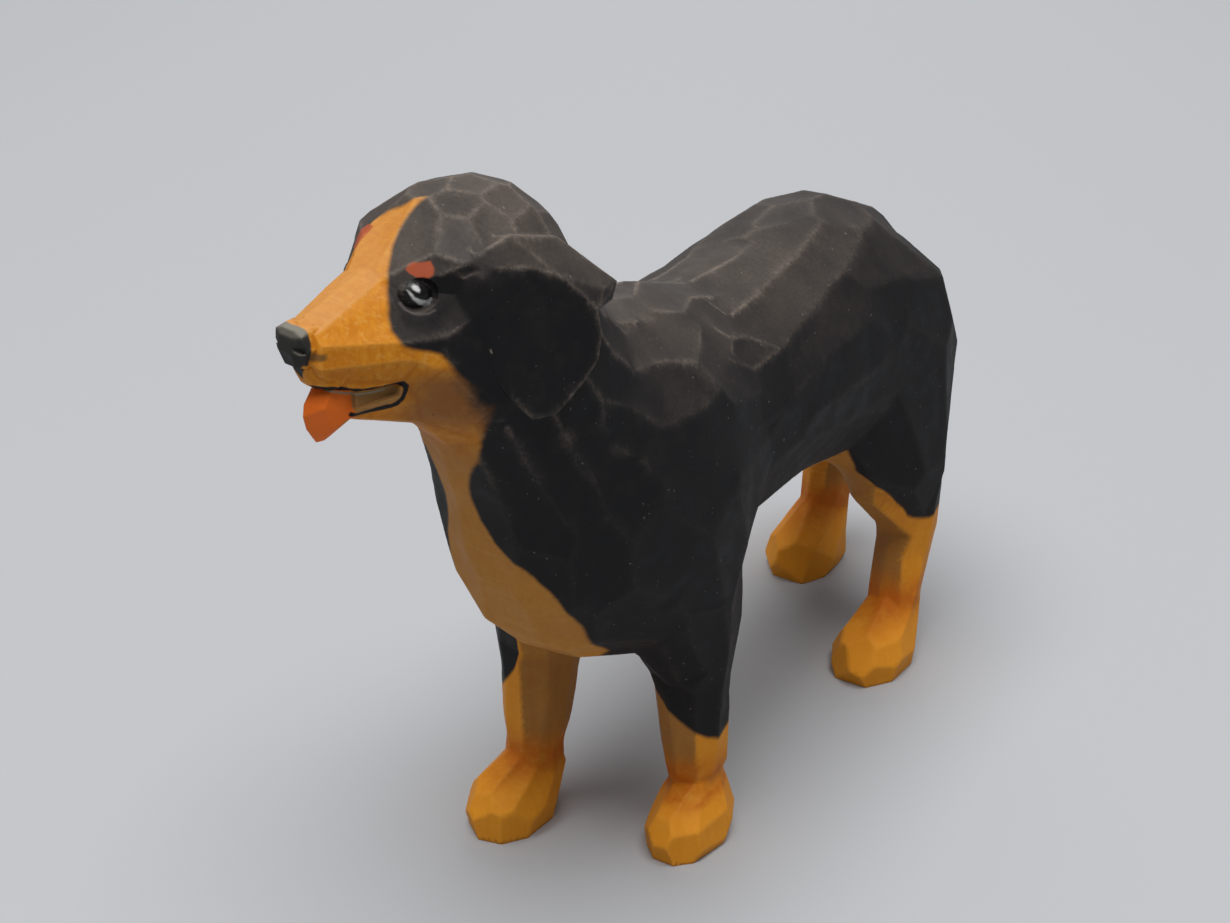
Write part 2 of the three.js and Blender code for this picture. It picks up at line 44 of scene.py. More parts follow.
# the camera stands ahead of the dog and above it, to its left
cameraSettings = {
    "place": (140.5, -234.4, 184.4),
    "looks": (-0.4747, 0.7445, -0.4695),
    "lens": 81.5,
    "sensor": 36,
    "near": 10,
    "far": 20000,
}


def makeCamera(settings):
    data = bpy.data.cameras.new("photoCamera")
    data.lens = settings["lens"]
    data.sensor_width = settings["sensor"]
    data.clip_start = settings["near"] * mm
    data.clip_end = settings["far"] * mm
    camera = bpy.data.objects.new("photoCamera", data)
    camera.location = Vector(settings["place"]) * mm
    camera.rotation_euler = Vector(settings["looks"]).to_track_quat("-Z", "Y").to_euler()
    bpy.context.scene.collection.objects.link(camera)
    bpy.context.scene.camera = camera


makeCamera(cameraSettings)
print("camera placed")

# the head is turned and tilted, and what lies on it is given as forward, left and up in its own frame
headSettings = {"turn": 15, "tilt": 4, "pivotY": -29.0, "tiltZ": 75.0}
eyeSettings = {"forward": 18.3, "left": 5.35, "up": 77.6}
withersSettings = {"place": (0, -3, 58), "reach": 15, "core": 10}


def toHead(points):
    turn = math.radians(headSettings["turn"])
    tilt = math.radians(headSettings["tilt"])
    x = points[:, 0]
    y = points[:, 1] - headSettings["pivotY"]
    left = x * math.cos(turn) - y * math.sin(turn)
    forward = -(x * math.sin(turn) + y * math.cos(turn))
    up = points[:, 2] - headSettings["tiltZ"]
    return np.stack([
        forward,
        left * math.cos(tilt) + up * math.sin(tilt),
        up * math.cos(tilt) - left * math.sin(tilt) + headSettings["tiltZ"],
    ], axis=1)


def rise(value, start, end):
    # a soft step: nothing at the start, one at the end, which may lie on either side
    t = np.clip((value - start) / (end - start), 0, 1)
    return t * t * (3 - 2 * t)


def hump(value, middle, spread):
    return np.exp(-(((value - middle) / spread) ** 2))


def headShare(points):
    # one on the head, nothing on the body, and between them along the neck
    return rise(points[:, 2], 60, 66) * rise(points[:, 1], -8, -18)


def eyeDistance(head):
    away = head - np.array([eyeSettings["forward"], 0, eyeSettings["up"]])
    away[:, 1] = np.abs(head[:, 1]) - eyeSettings["left"]
    return np.linalg.norm(away, axis=1)


def withersShare(points):
    away = np.linalg.norm(points - np.array(withersSettings["place"]), axis=1)
    return rise(away, withersSettings["reach"], withersSettings["core"])


# the fine mesh: its longest edge along a ridge, and where each part of the dog begins
grain = {
    "body": 0.7,
    "withers": 0.58,
    "paws": 0.58,
    "pawTop": 10,
    "head": 0.57,
    "headBottom": 62,
    "headBack": -2,
    "face": 0.5,
    "faceBack": 12.5,
    "lips": 0.32,
    # the lips, the nose and the brow: forward and up in the head's frame, from and to
    "lipBoxes": [((19.4, 66.4), (40, 71)), ((26.8, 70), (40, 90)), ((15.6, 78.6), (19.2, 82.2))],
    "eyes": 0.17,
    "eyeReach": 2.6,      # how far around an eye the finest mesh goes
    "ridgeBand": 0.45,    # how far from a ridge the fine mesh goes
    "betweenRidges": 1.9,  # how much coarser it is inside a cut
    "rounds": 9,
}


def longestEdge(points, ridgeTree):
    head = toHead(points)
    forward = head[:, 0]
    up = head[:, 2]
    onHead = (points[:, 2] > grain["headBottom"]) & (forward > grain["headBack"])
    onFace = onHead & (forward > grain["faceBack"])
    limit = np.where(withersShare(points) > 0.1, grain["withers"], grain["body"])
    limit = np.where(points[:, 2] < grain["pawTop"], grain["paws"], limit)
    limit = np.where(onHead, grain["head"], limit)
    limit = np.where(onFace, grain["face"], limit)
    toRidge = np.array([ridgeTree.find(p)[2] for p in points])
    limit = limit * np.where(toRidge < grain["ridgeBand"], 1, grain["betweenRidges"])
    for (back, bottom), (front, top) in grain["lipBoxes"]:
        inside = (forward > back) & (forward < front) & (up > bottom) & (up < top)
        limit = np.where(inside, np.minimum(limit, grain["lips"]), limit)
    return np.where(eyeDistance(head) < grain["eyeReach"], grain["eyes"], limit)


def splitLongEdges(bm, ridgeTree):
    for step in range(grain["rounds"]):
        bm.edges.ensure_lookup_table()
        ends = np.array([[*e.verts[0].co, *e.verts[1].co] for e in bm.edges]) / mm
        length = np.linalg.norm(ends[:, 3:] - ends[:, :3], axis=1)
        limit = longestEdge((ends[:, 3:] + ends[:, :3]) / 2, ridgeTree)
        longOnes = np.flatnonzero(length > limit)
        if len(longOnes) == 0:
            return
        bmesh.ops.subdivide_edges(bm, edges=[bm.edges[n] for n in longOnes], cuts=1)
        bmesh.ops.triangulate(bm, faces=[f for f in bm.faces if len(f.verts) > 3])


# the knife's work on every cut
carving = {
    "mergeReach": 0.002,
    "headRidge": 9.5,     # degrees between two cuts before their border counts as a ridge
    "bodyRidge": 10.5,
    "ridgeStep": 0.3,     # spacing of the points that mark a ridge
    "calmRounds": 14,     # how often the inside of each cut is evened out
    "calmPull": 0.6,
    "calmBand": (0.2, 0.7),  # the inside of a cut begins this far from its ridges
    "eyeCalm": (2.2, 3.7),  # nothing is hollowed nearer to an eye
    "scoop": 0.06,        # how deep the middle of a cut is hollowed
    "scoopReach": 2.2,
    "headScoopLoss": 0.4,
    "unevenness": 0.035,  # the hand's slight tremble over every cut
    "evenPart": 0.6,
    "headSoft": 0.2,      # how far the ridges are eased
    "bodySoft": 0.45,
    "soleHeight": 0.02,
}

# the fore ankles are cut in above their paws: how high and how deep the cut is, what share of it the
# outer side gets, how deep a narrow nick below it goes, and how far the paw's outer side is pared
ankles = {
    "left": {
        "place": (9.7, -10.3),
        "height": 6.9,
        "depth": 0.22,
        "outerShare": 0.0,
        "nick": 0.2,
        "paring": 0.75,
    },
    "right": {
        "place": (-9.7, -17.3),
        "height": 9.2,
        "depth": 0.35,
        "outerShare": 0.8,
        "nick": 0.0,
        "paring": 0.0,
    },
}
ankleCuts = {
    "spread": 1.7,
    "wander": 0.35,       # how far the cuts wander up and down
    "nickHeight": 6.3,
    "nickSpread": 0.35,
    "outerBand": (-0.7, 2.8),
    "reach": 8,
    "top": 14,
    "paringBand": (9.5, 7),
    "paringReach": 13,
}

# a step on the body too sharp for a knife cut is smoothed away
faults = {
    "angle": 55,
    "band": (1.8, 0.675),
    "bottom": 24,
    "pull": 0.6,
    "rounds": 30,
    # so are the steps where brow and ear meet and behind the lip: forward, side and up, and reach
    "headPlaces": [((13.5, 9.1, 80.3), 1.5), ((25.6, 3.1, 70.3), 0.9)],
}


def treeOf(places):
    tree = kdtree.KDTree(len(places))
    for n, place in enumerate(places):
        tree.insert(place, n)
    tree.balance()
    return tree


def ridgePoints(bm):
    found = []
    angles = []
    for edge in bm.edges:
        if len(edge.link_faces) != 2:
            continue
        a, b = (v.co / mm for v in edge.verts)
        onHead = headShare(np.array([(a + b) / 2]))[0]
        least = carving["bodyRidge"] + (carving["headRidge"] - carving["bodyRidge"]) * onHead
        angle = math.degrees(edge.calc_face_angle_signed(0))
        if abs(angle) < least:
            continue
        count = max(1, round((b - a).length / carving["ridgeStep"]))
        for n in range(count + 1):
            found.append(a.lerp(b, n / count))
            angles.append(angle)
    return found, angles


def neighbourMean(points, edges):
    total = np.zeros_like(points)
    for axis in range(3):
        total[:, axis] = (
            np.bincount(edges[:, 0], points[edges[:, 1], axis], len(points))
            + np.bincount(edges[:, 1], points[edges[:, 0], axis], len(points))
        )
    count = np.bincount(edges.ravel(), minlength=len(points))
    return total / np.maximum(count, 1)[:, None]


def readPoints(mesh):
    flat = np.empty(len(mesh.vertices) * 3, np.float32)
    mesh.vertices.foreach_get("co", flat)
    return flat.reshape(-1, 3).astype(float) / mm


def readEdges(mesh):
    flat = np.empty(len(mesh.edges) * 2, np.int32)
    mesh.edges.foreach_get("vertices", flat)
    return flat.reshape(-1, 2)


def readNormals(mesh):
    flat = np.empty(len(mesh.vertices) * 3, np.float32)
    mesh.vertex_normals.foreach_get("vector", flat)
    return flat.reshape(-1, 3).astype(float)


def writePoints(mesh, points):
    mesh.vertices.foreach_set("co", (points * mm).astype(np.float32).ravel())
    mesh.update()


def noiseAt(points, scale, shift=0.0):
    offset = Vector((shift, shift, shift))
    return np.array([noise.noise(Vector(p) * scale + offset) for p in points])


def evenOut(points, pull, rounds):
    # every point goes part of the way to the middle of its neighbours
    for step in range(rounds):
        points += (neighbourMean(points, edges) - points) * pull[:, None]


def cutAnkle(points, tremble, place, height, depth, outerShare, nick, paring):
    away = points[:, :2] - np.array(place)
    reach = np.linalg.norm(away, axis=1)
    side = np.sign(place[0])
    outer = rise(away[:, 0] * side, *ankleCuts["outerBand"])
    wandering = points[:, 2] + ankleCuts["wander"] * tremble
    cut = depth * hump(wandering, height, ankleCuts["spread"])
    cut += nick * hump(wandering, ankleCuts["nickHeight"], ankleCuts["nickSpread"])
    cut *= 1 - (1 - outerShare) * outer
    cut *= (reach < ankleCuts["reach"]) & (points[:, 2] < ankleCuts["top"]) & ~onSole
    points[:, :2] -= away / np.maximum(reach, 1)[:, None] * cut[:, None]
    pared = outer * rise(points[:, 2], *ankleCuts["paringBand"]) * (reach < ankleCuts["paringReach"])
    points[:, 0] -= side * paring * pared


def faultShare(points, head):
    steep = np.abs(ridgeAngles) > faults["angle"]
    onBody = headShare(np.array(ridges)) < 0.2
    high = np.array(ridges)[:, 2] > faults["bottom"]
    steepTree = treeOf([ridges[n] for n in np.flatnonzero(steep & onBody & high)])
    share = rise(np.array([steepTree.find(p)[2] for p in points]), *faults["band"]) * (1 - onHead)
    bothSides = np.stack([head[:, 0], np.abs(head[:, 1]), head[:, 2]], axis=1)
    for place, reach in faults["headPlaces"]:
        away = np.linalg.norm(bothSides - np.array(place), axis=1)
        share = np.maximum(share, rise(away, reach, reach / 2))
    return share


bm = bmesh.new()
bm.from_mesh(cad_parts["carved_dog"].data)
bmesh.ops.remove_doubles(bm, verts=bm.verts, dist=carving["mergeReach"] * mm)
ridges, ridgeAngles = ridgePoints(bm)
ridgeTree = treeOf(ridges)
splitLongEdges(bm, ridgeTree)
dogMesh = bpy.data.meshes.new("paintedDog")
bm.to_mesh(dogMesh)
bm.free()
print("fine mesh made")

edges = readEdges(dogMesh)
points = readPoints(dogMesh)
onSole = points[:, 2] < carving["soleHeight"]
head = toHead(points)
onHead = headShare(points)
fromEye = eyeDistance(head)
nearest = [ridgeTree.find(p) for p in points]
ridgeDistance = np.array([n[2] for n in nearest])
ridgeSign = np.array([ridgeAngles[n[1]] for n in nearest])

# the inside of each cut is evened out between its ridges, then hollowed a little
evenOut(points, carving["calmPull"] * rise(ridgeDistance, *carving["calmBand"]), carving["calmRounds"])
writePoints(dogMesh, points)
normals = readNormals(dogMesh)
calm = rise(fromEye, *carving["eyeCalm"]) * ~onSole
scoop = carving["scoop"] * (1 - carving["headScoopLoss"] * onHead)
points -= normals * (scoop * calm * rise(ridgeDistance, 0, carving["scoopReach"]))[:, None]
tremble = noiseAt(points, 0.3) + 0.5 * noiseAt(points, 0.9, 7)
points -= normals * (carving["unevenness"] * calm * (carving["evenPart"] + tremble))[:, None]
for ankle in ankles.values():
    cutAnkle(points, tremble, **ankle)
evenOut(points, faults["pull"] * faultShare(points, head), faults["rounds"])

# the ridges are eased, more on the body than on the head and the legs, and the soles stay flat
softer = (1 - onHead) * rise(points[:, 2], 26, 32)
ease = carving["headSoft"] + (carving["bodySoft"] - carving["headSoft"]) * softer
evenOut(points, ease * rise(points[:, 2], 0.3, 0.8), 1)
points[onSole, 2] = 0
writePoints(dogMesh, points)
normals = readNormals(dogMesh)
head = toHead(points)
print("dog carved,", len(dogMesh.polygons), "triangles")

# where each paint lies: areas and lines on the head are given as forward and up, seen from its side,
# unless a note says otherwise
paintAreas = {
    "muzzle": [
        (12.2, 58), (13.05, 61.4), (13.5, 63.08), (14.12, 64.8), (14.97, 66.7), (16.13, 69.2),
        (16.77, 70.55), (17.7, 72.1), (18.92, 72.7), (19.96, 73), (20.8, 73.45), (21.32, 74.85),
        (21.1, 76.2), (20.6, 77.4), (20.2, 79), (22, 84), (40, 84), (40, 58),
    ],
    # the blaze up the forehead, seen from above: forward and left
    "blaze": [
        (22.4, 4.6), (20.5, 3.6), (19.9, 3), (19, 2.2), (17.8, 1.4), (16.6, 0.88), (15.1, 0.7),
        (14, 0.88), (13.2, 1.15), (13.6, 0.5), (14.42, -0.56), (15.02, -2.3), (16.06, -3.7),
        (18.17, -3.6), (19.4, -3.1), (20.6, -3.5), (22.4, -4.6),
    ],
    # the bib from the throat to between the fore legs, seen from ahead: side and up
    "bib": [
        (5, 66), (4.2, 63.6), (3.5, 61.9), (2.6, 59.1), (0.7, 56.4), (-0.1, 54.4), (-0.5, 52.5),
        (-0.2, 49.8), (1, 46.9), (3.5, 44.5), (5.5, 41.1), (6.5, 38.4), (6.9, 36.3), (6.7, 33),
        (5.6, 29), (4, 27.4), (3.2, 20), (-5, 20), (-7.6, 24), (-8.4, 29), (-8.2, 33), (-8, 36),
        (-7.4, 39), (-7, 42), (-6.6, 45), (-5.6, 48), (-5, 51), (-4.8, 54), (-5, 57), (-5.4, 60),
        (-6.6, 63), (-8, 66),
    ],
    "farBrow": [
        (18.8, 80.5), (17.8, 81.2), (16.6, 81.9), (16.1, 81.6), (17, 80.6), (18.3, 79.9),
    ],
    "brow": [
        (18.5, 79.9), (17.88, 80.36), (17.28, 80.47), (16.62, 80.6), (16.56, 79.97),
        (16.8, 79.37), (17.35, 79), (18.04, 79.22), (18.38, 79.58),
    ],
    "eye": [
        (19.5, 78.12), (18.9, 78.78), (18.3, 78.97), (17.64, 78.76), (17.13, 78.13),
        (16.78, 77.19), (17.2, 76.53), (17.91, 76.26), (18.76, 76.66), (19.41, 77.42),
    ],
    # the glint is a painted highlight, laid on with the eye's white paint
    "glint": [
        (18.78, 78.52), (18.5, 78.66), (18.24, 78.5), (18.2, 78.2), (18.34, 77.98), (18.6, 78.12),
        (18.76, 78.34),
    ],
    "eyeWhite": [
        (19.2, 78.3), (19.13, 77.9), (18.94, 77.4), (18.37, 76.76), (17.72, 76.4), (17.26, 76.56),
        (16.92, 77), (17, 77.08), (17.6, 77.02), (18.33, 77.3), (18.85, 77.64), (19.05, 78.1),
    ],
    "mouth": [
        (24.7, 69.1), (22.6, 68.8), (20.5, 68.9), (20.1, 68.3), (20.5, 67.5), (22.7, 67.2),
        (24.7, 67),
    ],
    "stain": [
        (28.9, 74), (28.3, 74.1), (27.4, 73.85), (27.5, 73.4), (28.3, 73.3), (28.9, 73.5),
    ],
}
paintLines = {
    "upperLip": [
        (28.1, 70.25), (27.4, 70.2), (26.7, 70.15), (25.08, 69.6), (23.98, 69.28), (22.6, 69.15),
        (21.03, 69.16), (20.26, 69.2), (19.93, 68.8), (19.92, 68.3), (20.22, 67.6), (20.75, 67.2),
        (21.3, 67.08), (22.67, 67.05), (23.85, 66.9), (24.66, 66.8),
    ],
    "lipShine": [
        (26.9, 69.8), (26, 69.45), (25, 69), (23.9, 68.72), (22.6, 68.6), (21.3, 68.6),
    ],
    "eyelid": [
        (19.72, 77.03), (19.53, 76.5), (19.07, 76.08), (18.48, 75.9), (17.84, 75.9),
        (17.31, 76.12),
    ],
}
# places where the paint is rubbed off or chipped: forward, left, up of both ends, and half its width
chips = [
    ((13.78, 9.7, 72.1), (13.66, 9.84, 71.5), 0.13),
    ((13.5, 9.95, 70.6), (13.45, 10.05, 70.1), 0.07),
    ((13.2, 8.4, 80.92), (13.43, 8.78, 80.72), 0.07),
]
# each leg's black ends at a height that changes around the leg: degrees, where -90 looks ahead and
# 0 looks out, and height
legBorders = {
    "foreLeft": [
        (-180, 21), (-150, 20.4), (-125, 19.6), (-108, 18.7), (-97, 17.7), (-78, 16.5),
        (-60, 15.8), (-27, 14.4), (0, 13.8), (30, 14.2), (50, 14.6), (90, 17), (130, 20),
        (180, 21),
    ],
    "foreRight": [
        (-180, 31), (-110, 30), (-98, 27), (-94, 23.8), (-90, 21.6), (-81, 19.5), (-57, 17),
        (-30, 15.5), (0, 14.3), (30, 14.2), (60, 15.5), (90, 18), (130, 24), (180, 31),
    ],
    "hind": [
        (-180, 30), (-150, 30.5), (-120, 31), (-100, 30.4), (-92, 29.2), (-77, 26.4), (-58, 23),
        (-24, 20.4), (0, 19.6), (30, 19), (90, 19.5), (130, 23), (180, 30),
    ],
}
# half the width of each painted line
lineWidths = {"upperLip": 0.25, "lipShine": 0.09, "eyelid": 0.1}


def insideBy(area, a, b):
    # how far a point lies inside a polygon, less than nothing outside
    corners = np.array(area, float)
    away = np.full(len(a), 1e9)
    inside = np.zeros(len(a), bool)
    for (a0, b0), (a1, b1) in zip(corners, np.roll(corners, -1, axis=0)):
        along = ((a - a0) * (a1 - a0) + (b - b0) * (b1 - b0)) / ((a1 - a0) ** 2 + (b1 - b0) ** 2)
        t = np.clip(along, 0, 1)
        beside = np.hypot(a - a0 - t * (a1 - a0), b - b0 - t * (b1 - b0))
        away = np.minimum(away, beside)
        crosses = (b0 > b) != (b1 > b)
        reach = a0 + (b - b0) * (a1 - a0) / np.where(b1 == b0, 1e-9, b1 - b0)
        inside ^= crosses & (a < reach)
    return np.where(inside, away, -away)


def nearLine(line, a, b, width):
    away = np.full(len(a), 1e9)
    for (a0, b0), (a1, b1) in zip(line, line[1:]):
        along = ((a - a0) * (a1 - a0) + (b - b0) * (b1 - b0)) / ((a1 - a0) ** 2 + (b1 - b0) ** 2)
        t = np.clip(along, 0, 1)
        beside = np.hypot(a - a0 - t * (a1 - a0), b - b0 - t * (b1 - b0))
        away = np.minimum(away, beside)
    return width - away


def nearChips(head):
    away = np.full(len(head), -1e9)
    for start, end, width in chips:
        a, b = np.array(start), np.array(end)
        t = np.clip((head - a) @ (b - a) / ((b - a) @ (b - a)), 0, 1)
        beside = np.linalg.norm(head - a - t[:, None] * (b - a), axis=1)
        away = np.maximum(away, width - beside)
    return away


def tanOnLeg(border, out, along, z):
    angle = np.degrees(np.arctan2(along, out))
    heights = np.array(legBorders[border])
    return (np.interp(angle, heights[:, 0], heights[:, 1]) - z) * 0.75


def tanOnLegs(x, y, z):
    left = x > 0
    foreLeft = tanOnLeg("foreLeft", x - 8.8, y + 12.3, z)
    foreRight = tanOnLeg("foreRight", -x - 8.7, y + 16, z)
    fore = np.minimum(np.where(left, foreLeft, foreRight), np.where(left, 3, -1.5) - y)
    rightShift = np.interp(z, [16, 32], [17.6, 4.4])  # the right hind leg stands farther back
    hindLeft = tanOnLeg("hind", x - 9.5, y - 34, z)
    hindRight = tanOnLeg("hind", -x - 9.5, y - 34 - rightShift, z)
    hind = np.minimum(np.where(left, hindLeft, hindRight), y - 12)
    return np.maximum(fore, hind)


def paintDistances(points, head, normals):
    x, y, z = points.T
    forward, left, up = head.T
    side = np.abs(left)

    def area(name):
        return insideBy(paintAreas[name], forward, up)

    def line(name):
        return nearLine(paintLines[name], forward, up, lineWidths[name])

    muzzle = np.minimum(area("muzzle"), up - 57)
    blaze = np.minimum(insideBy(paintAreas["blaze"], forward, left), up - 77)
    bib = np.minimum(insideBy(paintAreas["bib"], x, z), -4 - y - np.maximum(z - 55, 0) * 2.2)
    belly = np.minimum.reduce([34 - z, (-normals[:, 2] - 0.45) * 6, y + 11, 34 - y, 9 - np.abs(x)])
    tan = np.maximum.reduce([muzzle, blaze, bib, belly, tanOnLegs(x, y, z)])
    brushed = rise(up, 71.5, 68.5) * rise(forward, 21, 17) * headShare(points)  # a softer edge
    nose = np.minimum(forward - 28.45 - 0.06 * (76.5 - up), up - 72.9)
    philtrum = np.minimum.reduce([0.15 + 0.75 * (up - 71.2) - side, 73.4 - up, forward - 27])
    tongueTop = 69.4 + 0.15 * (forward - 24.3) - up
    tongueBack = forward - np.where(up < 66.4, 25.3, 24.4)
    leftBrow = np.minimum(area("brow"), left - 3.3)
    rightBrow = np.minimum(area("farBrow"), -left - 2.9)
    return {
        "tan": tan * (1 - 0.7 * brushed),
        "rust": np.maximum(leftBrow, rightBrow),
        "nose": np.maximum(nose, philtrum),
        "lips": np.minimum(line("upperLip"), side - 0.6),
        "lipShine": np.minimum(line("lipShine"), side - 0.6),
        "mouth": np.minimum(area("mouth"), 6 - side),
        "tongue": np.minimum.reduce([tongueTop, tongueBack, 2.35 - side, up - 60]),
        "eye": np.minimum(area("eye"), side - 3),
        # the white of the eye and the glint, a painted highlight
        "eyeWhite": np.minimum(np.maximum(area("glint"), area("eyeWhite")), side - 3),
        "eyelid": np.minimum(line("eyelid"), side - 3),
        "chips": nearChips(head),
        "stain": np.minimum(area("stain"), left),
    }


def addLayer(name, values):
    layer = dogMesh.attributes.new(name, "FLOAT", "POINT")
    layer.data.foreach_set("value", values.astype(np.float32))


for name, distance in paintDistances(points, head, normals).items():
    addLayer(name, np.clip(distance, -3, 3))

# how the paint has aged, and where light and shade are painted on: ridges are rubbed lighter where
# hands touch, what faces up gets dust and a painted sheen, and some places get painted shade
ageingAndPaintedLight = {
    "ridgeWidth": 0.24,
    "ridgeAngle": 20,     # degrees at which a ridge is rubbed in full
    "backRubbed": 0.75,
    "leastRubbed": 0.13,
    "withersRubbed": 0.4,
    "headBlur": 0.25,     # how far the rubbing spreads
    "bodyBlur": 0.6,
    "dustAndSheenBlur": 0.5,
    "bodyDustAndSheen": 0.8,
    "rearDustAndSheenLoss": 0.35,
    # the outer strip of a leg is brighter, partly in its paint and partly as painted light, from here
    # outwards, on the left and on the right
    "leftStrip": 0.5,
    "rightStrip": -0.2,
    "stripShare": 0.8,
    # painted shade, darker and redder, lies around the ankles at this height
    "ankleHeight": 8.6,   # the ankles are redder
    "ankleSpread": 2.2,
    "nickSpread": 0.5,
    "legShade": 0.45,
    "napeShade": 0.5,
    "blazeShade": 0.32,
}
across, along, up = points.T
forward, side, headUp = head[:, 0], np.abs(head[:, 1]), head[:, 2]

touched = np.maximum(onHead * rise(headUp, 74, 78), ageingAndPaintedLight["backRubbed"] * rise(up, 52, 61))
touched = np.maximum(touched, ageingAndPaintedLight["leastRubbed"]) + ageingAndPaintedLight["withersRubbed"] * withersShare(points)
touched *= rise(fromEye, 2.3, 2.9)
# convex ridges are rubbed lighter; concave creases are darkened, partly stain pooled there and partly
# painted shade
wearAndCreaseShade = hump(ridgeDistance, 0, ageingAndPaintedLight["ridgeWidth"]) * np.clip(ridgeSign / ageingAndPaintedLight["ridgeAngle"], -1, 1)
facingUp = rise(normals[:, 2] + 0.2 * onHead * rise(headUp, 76, 79), 0.2, 0.95)
layers = neighbourMean(np.stack([wearAndCreaseShade, facingUp, facingUp], axis=1), edges)
extraBlur = (ageingAndPaintedLight["bodyBlur"] - ageingAndPaintedLight["headBlur"]) * (1 - onHead) * (1 - withersShare(points))
wearAndCreaseShade += (layers[:, 0] - wearAndCreaseShade) * (ageingAndPaintedLight["headBlur"] + extraBlur)
facingUp += (layers[:, 1] - facingUp) * ageingAndPaintedLight["dustAndSheenBlur"]
earFront = rise(forward, 11.8, 12.6) * rise(side, 7.6, 8.4) * rise(headUp, 81.4, 80.8)
dustAndSheenSpread = rise(up, 44, 58) * (1 - ageingAndPaintedLight["rearDustAndSheenLoss"] * rise(along, 8, 33))
addLayer("wearAndCreaseShade", wearAndCreaseShade)
addLayer("rubbed", wearAndCreaseShade * touched * (1 - earFront))
# dust and a painted sheen on what faces up, more on the head and less towards the rear
addLayer("dustAndSheen", facingUp * dustAndSheenSpread * (ageingAndPaintedLight["bodyDustAndSheen"] + (1 - ageingAndPaintedLight["bodyDustAndSheen"]) * onHead))

# the bib and the front of the legs are duller than the muzzle and the paws; on the legs this is partly
# painted shade on their inner and front faces
outward = normals[:, 0] * np.sign(across)
pastStrip = outward - np.where(across > 0, ageingAndPaintedLight["leftStrip"], ageingAndPaintedLight["rightStrip"])
bibDull = rise(up, 62, 57) * rise(up, 25, 31)
legDullAndShade = rise(pastStrip, 0.15, -0.25) * rise(up, 9.5, 12.5) * rise(up, 34, 30)
litStrip = rise(pastStrip, 0, 0.3) * rise(up, 24, 21)
wandering = up + ankleCuts["wander"] * tremble
nick = hump(wandering, ankleCuts["nickHeight"], ageingAndPaintedLight["nickSpread"]) * (across > 0) * (along < 5)
# dust and a painted sheen: the head's upward faces get a paler tan
dustAndSheenTop = rise(normals[:, 2], 0.5, 0.9) * onHead
addLayer("dullAndLegShade", np.maximum(bibDull, legDullAndShade))
addLayer("dustAndSheenTop", dustAndSheenTop)
# the paws and the outer strips of the legs are brighter, partly in their paint and partly as painted
# light
addLayer("paw", np.maximum(rise(up, 8, 5.5), ageingAndPaintedLight["stripShare"] * litStrip))
# painted shade around the ankles and in the nick above the left fore paw
addLayer("ankle", np.maximum(hump(up, ageingAndPaintedLight["ankleHeight"], ageingAndPaintedLight["ankleSpread"]), nick))
# painted shade: under the jaw, on the inner and front faces of the legs, on the nape below the head,
# and on the upward top of the blaze
addLayer("shade", np.maximum.reduce([
    rise(headUp, 71.5, 68.5) * rise(forward, 23, 17) * onHead,
    ageingAndPaintedLight["legShade"] * rise(pastStrip, 0, -0.3) * rise(up, 8, 11) * rise(up, 32, 28),
    ageingAndPaintedLight["napeShade"] * rise(up, 54, 61) * (1 - onHead),
    ageingAndPaintedLight["blazeShade"] * dustAndSheenTop,
]))
print("paint laid out")


def addNode(tree, kind, inputs=None, **settings):
    made = tree.nodes.new(kind)
    for name, value in settings.items():
        setattr(made, name, value)
    for name, value in (inputs or {}).items():
        if isinstance(value, bpy.types.NodeSocket):
            tree.links.new(value, made.inputs[name])
        else:
            made.inputs[name].default_value = value
    return made


def combine(tree, operation, a, b):
    return addNode(tree, "ShaderNodeMath", {0: a, 1: b}, operation=operation).outputs[0]


def patternOf(tree, place, scale, detail, roughness, stretch):
    mapped = addNode(tree, "ShaderNodeMapping", {"Vector": place, "Scale": stretch}).outputs[0]
    settings = {"Vector": mapped, "Scale": scale, "Detail": detail, "Roughness": roughness}
    return addNode(tree, "ShaderNodeTexNoise", settings).outputs["Fac"]


def ramp(tree, value, low, high, lowTo=0.0, highTo=1.0):
    made = addNode(tree, "ShaderNodeMapRange", {
        "Value": value, "From Min": low, "From Max": high, "To Min": lowTo, "To Max": highTo,
    }, interpolation_type="SMOOTHSTEP")
    return made.outputs[0]


def blend(tree, amount, under, over):
    made = addNode(tree, "ShaderNodeMix", data_type="RGBA")
    for number, value in ((0, amount), (6, under), (7, over)):
        socket = made.inputs[number]
        if isinstance(value, bpy.types.NodeSocket):
            tree.links.new(value, socket)
        else:
            isColour = isinstance(value, tuple) and len(value) == 3
            socket.default_value = (*value, 1) if isColour else value
    return made.outputs[2]


def layerOf(tree, name):
    return addNode(tree, "ShaderNodeAttribute", attribute_name=name).outputs["Fac"]


